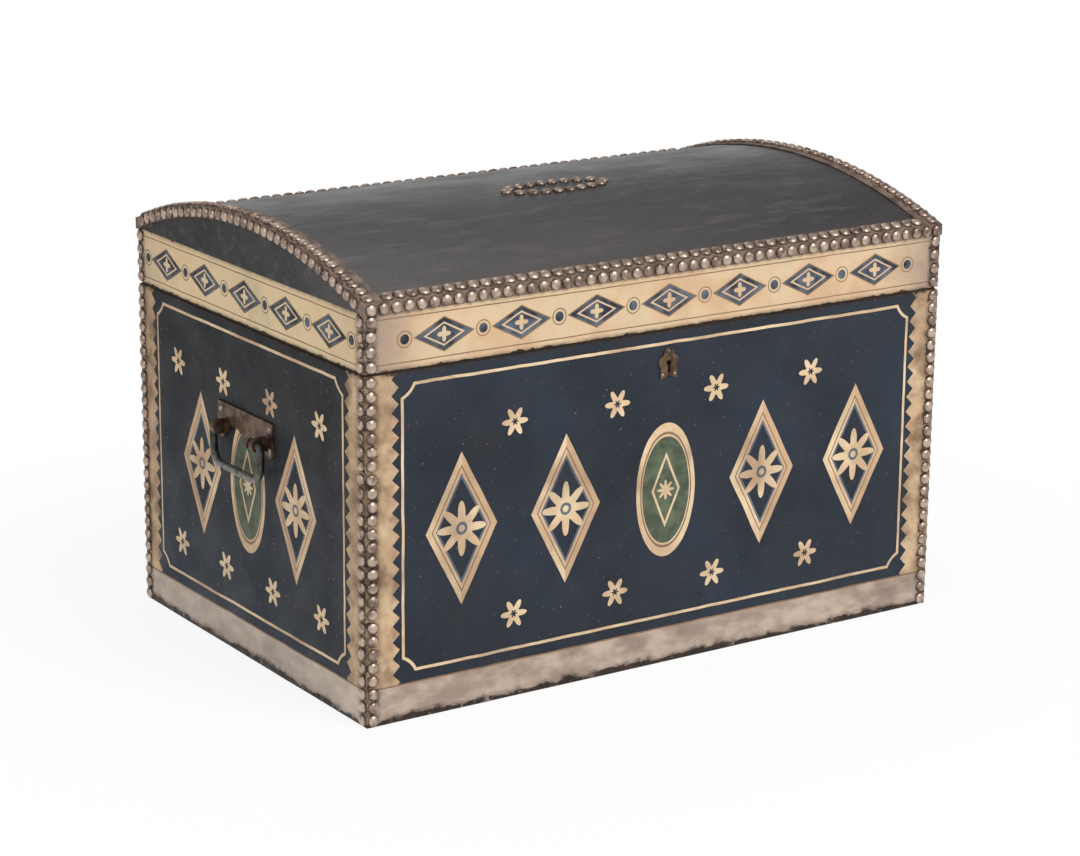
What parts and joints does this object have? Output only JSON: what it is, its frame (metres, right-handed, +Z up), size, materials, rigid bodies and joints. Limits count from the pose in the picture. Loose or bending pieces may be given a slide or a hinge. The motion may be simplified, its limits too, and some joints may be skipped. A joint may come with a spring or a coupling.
{
  "type": "deed box",
  "caption": "Arch-lidded pine deed box covered in painted leather, close nailed, with a hinged lid, a box lock and a swinging bail handle at each end.",
  "frame": {"origin": "middle of the box's underside, on the surface it stands on", "axes": "+X along the front to the right, +Y from the front to the back, +Z up"},
  "size_m": [0.632, 0.413, 0.3995],
  "materials": {
    "pine": "planed pine, aged",
    "painted_leather": "leather painted navy, cream and stone, worn",
    "band_leather": "leather painted cream, worn",
    "dome_leather": "dark polished leather, scuffed",
    "binding_leather": "brown leather",
    "nail_brass": "tarnished brass",
    "iron": "dark forged iron",
    "bronzed_iron": "browned iron"
  },
  "bodies": {
    "box": {"front_board": "pine", "back_board": "pine", "left_end_board": "pine", "right_end_board": "pine", "bottom_board": "pine", "front_leather": "painted_leather", "back_leather": "painted_leather", "left_leather": "painted_leather", "right_leather": "painted_leather", "body_front_nails": "nail_brass", "body_back_nails": "nail_brass", "body_left_nails": "nail_brass", "body_right_nails": "nail_brass", "lock_plate": "iron", "lock_case": "iron", "lock_spring": "iron", "body_screws": "iron", "escutcheon": "bronzed_iron", "escutcheon_pins": "bronzed_iron", "left_handle_plate": "bronzed_iron", "right_handle_plate": "bronzed_iron", "left_handle_rivets": "bronzed_iron", "right_handle_rivets": "bronzed_iron", "left_hinge_body_leaf": "iron", "right_hinge_body_leaf": "iron", "hinge_pins": "iron"},
    "lid": {"lid_front_rail": "pine", "lid_back_rail": "pine", "lid_left_end": "pine", "lid_right_end": "pine", "stave_1": "pine", "stave_2": "pine", "stave_3": "pine", "stave_4": "pine", "stave_5": "pine", "dome_leather": "dome_leather", "lid_front_leather": "band_leather", "lid_back_leather": "band_leather", "lid_left_leather": "band_leather", "lid_right_leather": "band_leather", "left_arch_leather": "dome_leather", "right_arch_leather": "dome_leather", "front_binding": "binding_leather", "back_binding": "binding_leather", "left_binding": "binding_leather", "right_binding": "binding_leather", "lid_front_nails": "nail_brass", "lid_back_nails": "nail_brass", "lid_left_nails": "nail_brass", "lid_right_nails": "nail_brass", "oval_nails": "nail_brass", "link_plate": "iron", "left_hinge_lid_leaf": "iron", "right_hinge_lid_leaf": "iron", "lid_screws": "iron"},
    "lock_bolt": {"lock_bolt": "iron"},
    "left_bail": {"left_bail": "iron"},
    "right_bail": {"right_bail": "iron"}
  },
  "joints": [
    {"name": "lid_hinge", "type": "hinge", "parent": "box", "child": "lid", "pos_m": [0, 0.2035, 0.30015], "axis": [-1, 0, 0], "range_deg": [0, 100]},
    {"name": "bolt_slide", "type": "slide", "parent": "box", "child": "lock_bolt", "axis": [1, 0, 0], "range_m": [0, 0.009]},
    {"name": "left_bail_pivot", "type": "hinge", "parent": "box", "child": "left_bail", "pos_m": [-0.31, 0, 0.205], "axis": [0, 1, 0], "range_deg": [-11, 188]},
    {"name": "right_bail_pivot", "type": "hinge", "parent": "box", "child": "right_bail", "pos_m": [0.31, 0, 0.205], "axis": [0, -1, 0], "range_deg": [-11, 188]}
  ]
}
